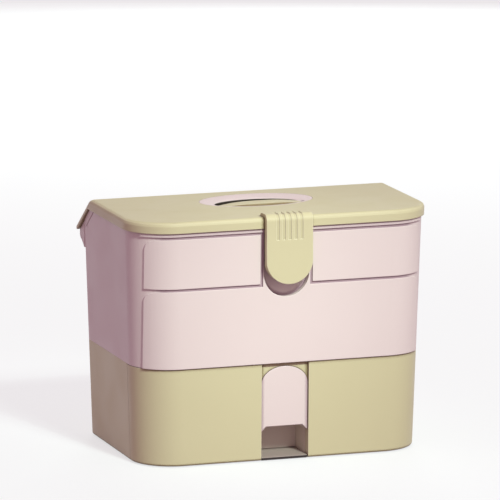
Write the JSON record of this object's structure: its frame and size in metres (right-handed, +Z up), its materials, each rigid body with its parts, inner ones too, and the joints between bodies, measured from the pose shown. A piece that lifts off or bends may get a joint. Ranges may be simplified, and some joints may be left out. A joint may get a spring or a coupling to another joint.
{
  "type": "makeup storage case",
  "caption": "Two-tone makeup storage case: hinged lid with recessed oval handle, front snap clip, lift-out tray and a base drawer with a finger pull.",
  "frame": {"origin": "middle of the case's footprint at the ground, under the feet", "axes": "+X along the width to the right, -Y towards the front with the clip, +Z up"},
  "size_m": [0.2702, 0.184, 0.217],
  "materials": {
    "pink_plastic": "satin",
    "green_plastic": "satin",
    "steel": "brushed",
    "rubber": "matte"
  },
  "bodies": {
    "case": {"body_shell": "pink_plastic", "base_housing": "green_plastic", "base_screws": "steel", "feet": "rubber", "runner_left": "pink_plastic", "runner_right": "pink_plastic", "hinge_pin_left": "steel", "hinge_pin_right": "steel", "case_divider": "pink_plastic"},
    "lid": {"lid_shell": "green_plastic", "handle_cup": "pink_plastic", "handle_grip": "green_plastic", "handle_retainer": "green_plastic", "handle_screws": "steel", "clip_pin": "steel"},
    "clip": {"clip": "green_plastic"},
    "tray": {"tray": "pink_plastic", "tray_divider_left": "pink_plastic", "tray_divider_right": "pink_plastic"},
    "drawer": {"drawer_front": "green_plastic", "drawer_box": "pink_plastic", "drawer_screws": "steel", "drawer_pull": "pink_plastic", "drawer_divider_left": "pink_plastic", "drawer_divider_right": "pink_plastic"}
  },
  "joints": [
    {"name": "lid_hinge", "type": "hinge", "parent": "case", "child": "lid", "pos_m": [0, 0.08525, 0.17816], "axis": [-1, 0, 0], "range_deg": [0, 105]},
    {"name": "clip_hinge", "type": "hinge", "parent": "lid", "child": "clip", "pos_m": [0, -0.0787, 0.2117], "axis": [-1, 0, 0], "range_deg": [0, 85]},
    {"name": "tray_lift", "type": "slide", "parent": "case", "child": "tray", "axis": [0, 0, 1], "range_m": [0, 0.072]},
    {"name": "drawer_slide", "type": "slide", "parent": "case", "child": "drawer", "axis": [0, -1, 0], "range_m": [0, 0.088]}
  ],
  "couplings": [
    {"joint": "tray_lift", "follows": "lid_hinge", "m_per_rad": 0.039}
  ]
}
